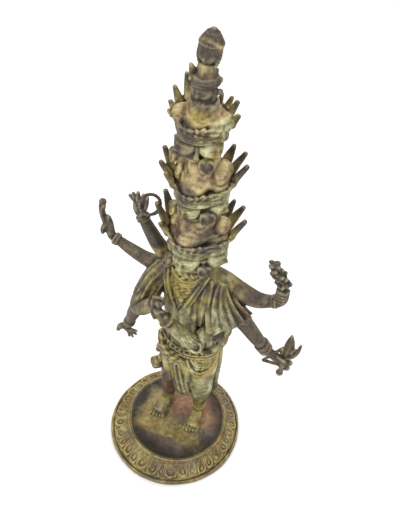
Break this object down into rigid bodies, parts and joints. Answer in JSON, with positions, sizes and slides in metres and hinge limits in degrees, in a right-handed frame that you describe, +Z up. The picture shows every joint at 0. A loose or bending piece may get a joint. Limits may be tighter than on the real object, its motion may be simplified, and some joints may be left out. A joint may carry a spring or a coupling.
{
  "type": "lokeshvara statue",
  "caption": "Cast bronze standing figure with stacked heads and many spread arms, on a round base ringed with lotus petals.",
  "frame": {"origin": "middle of the underside of the lotus base", "axes": "+Z up along the figure, -Y the way the front faces look, +X the figure's left hand side"},
  "size_m": [0.1382, 0.1046, 0.33],
  "materials": {
    "figure_bronze": "old patinated bronze, satin on worn ridges and dull in the recesses",
    "base_bronze": "old patinated bronze, olive yellow on the petals and dark on the disc"
  },
  "bodies": {
    "root": {"figure": "figure_bronze", "lotus_base": "base_bronze"}
  },
  "joints": []
}
